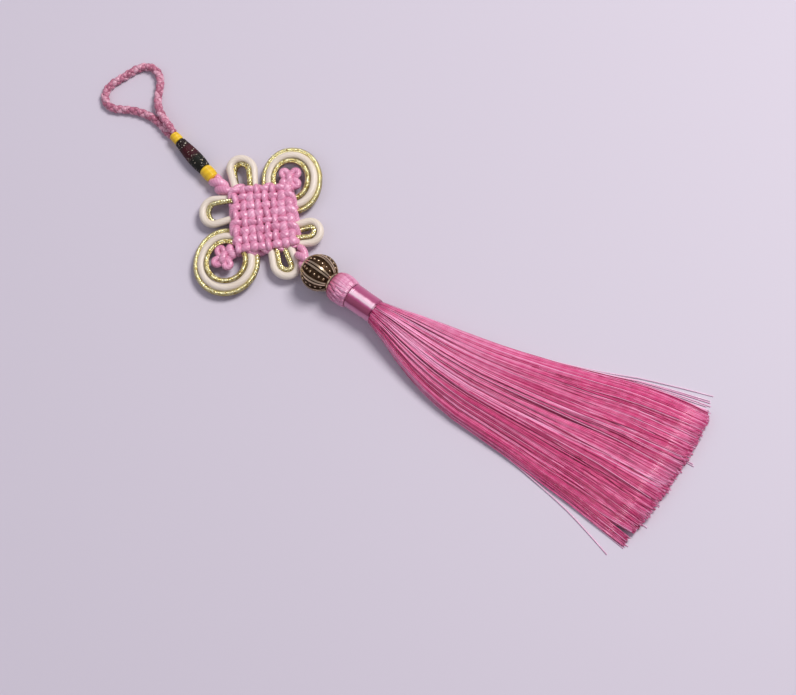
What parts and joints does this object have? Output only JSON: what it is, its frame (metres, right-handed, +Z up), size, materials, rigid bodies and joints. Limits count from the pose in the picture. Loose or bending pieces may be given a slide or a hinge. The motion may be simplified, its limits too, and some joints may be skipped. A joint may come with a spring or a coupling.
{
  "type": "chinese knot tassel",
  "caption": "Hanging ornament of knotted pink cord with cream and gold cord petals, a ribbed bronze bead and a fanned thread tassel, lying flat.",
  "frame": {"origin": "on the table under the middle of the outline, the hanging loop left out", "axes": "+Y runs along the ornament to the hanging loop, -Y to the cut ends of the tassel, +Z up from the table, +X to the right side petal"},
  "size_m": [0.0517, 0.1998, 0.0104],
  "materials": {
    "pink_cord": "satin rayon cord",
    "loop_cord": "round braided satin cord",
    "yellow_thread": "wound silk thread",
    "dark_thread": "wound dark thread with metallic flecks",
    "cream_cord": "smooth satin cord",
    "gold_cord": "metallic gold braid",
    "antique_bronze": "antique bronze, polished ribs over dark recesses",
    "tassel_thread": "glossy rayon thread",
    "satin_ribbon": "satin ribbon"
  },
  "bodies": {
    "root": {"hanging_loop": "loop_cord", "upper_yellow_wrap": "yellow_thread", "dark_wrap": "dark_thread", "lower_yellow_wrap": "yellow_thread", "neck_cords": "pink_cord", "knot_body": "pink_cord", "left_flower": "pink_cord", "right_flower": "pink_cord", "small_petal_cream_1": "cream_cord", "small_petal_cream_2": "cream_cord", "small_petal_cream_3": "cream_cord", "small_petal_cream_4": "cream_cord", "small_petal_gold_1": "gold_cord", "small_petal_gold_2": "gold_cord", "small_petal_gold_3": "gold_cord", "small_petal_gold_4": "gold_cord", "left_petal_outer_gold": "gold_cord", "left_petal_cream": "cream_cord", "left_petal_inner_gold": "gold_cord", "right_petal_outer_gold": "gold_cord", "right_petal_cream": "cream_cord", "right_petal_inner_gold": "gold_cord", "link_cords": "pink_cord", "bronze_bead": "antique_bronze", "tassel_cap": "tassel_thread", "satin_band": "satin_ribbon", "tassel_skirt": "tassel_thread"}
  },
  "joints": []
}
